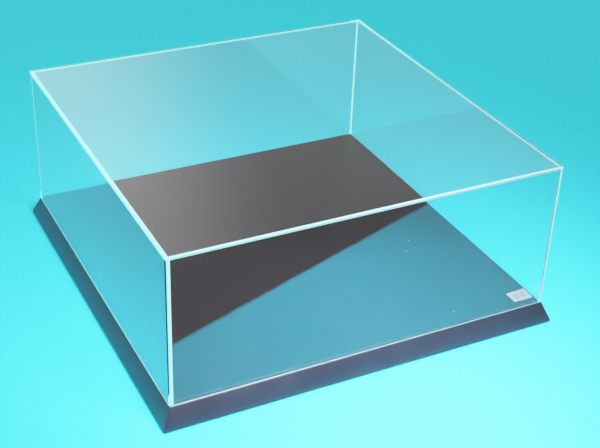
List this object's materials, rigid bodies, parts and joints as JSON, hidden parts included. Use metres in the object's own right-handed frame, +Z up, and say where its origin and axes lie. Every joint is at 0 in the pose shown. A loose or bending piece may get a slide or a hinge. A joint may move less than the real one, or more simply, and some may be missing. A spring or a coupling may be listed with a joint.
{
  "type": "display case",
  "caption": "Low square display case: a clear acrylic cover that lifts straight off a black bevelled plinth with a glossy black deck for a scale model.",
  "frame": {"origin": "the middle of the case on the table that its feet stand on", "axes": "+Z up, the way the cover lifts off; the front of the case faces -Y and its left side faces -X"},
  "size_m": [0.4168, 0.4168, 0.177],
  "materials": {
    "clear_acrylic": "clear cast sheet, polished faces, bright cut edges",
    "black_painted_wood": "black satin lacquer",
    "black_laminate": "semi-gloss black laminate",
    "board": "bare fibreboard",
    "bare_pine": "planed, unfinished",
    "foot_pad": "matte",
    "screw_steel": "zinc plated, yellow passivated",
    "nail_steel": "bright steel strip",
    "label_paper": "matte label stock, no text"
  },
  "bodies": {
    "plinth": {"front_rail": "black_painted_wood", "back_rail": "black_painted_wood", "left_rail": "black_painted_wood", "right_rail": "black_painted_wood", "deck_laminate": "black_laminate", "deck_board": "board", "price_label": "label_paper", "deck_batten": "bare_pine", "corner_block_front_left": "bare_pine", "corner_block_front_right": "bare_pine", "corner_block_back_left": "bare_pine", "corner_block_back_right": "bare_pine", "foot_front_left": "foot_pad", "foot_front_right": "foot_pad", "foot_back_left": "foot_pad", "foot_back_right": "foot_pad", "block_screws": "screw_steel", "batten_screws": "screw_steel", "mitre_nails": "nail_steel"},
    "cover": {"top_panel": "clear_acrylic", "front_panel": "clear_acrylic", "back_panel": "clear_acrylic", "left_panel": "clear_acrylic", "right_panel": "clear_acrylic"}
  },
  "joints": [
    {"name": "cover_lift", "type": "slide", "parent": "plinth", "child": "cover", "axis": [0, 0, 1], "range_m": [0, 0.2]}
  ]
}
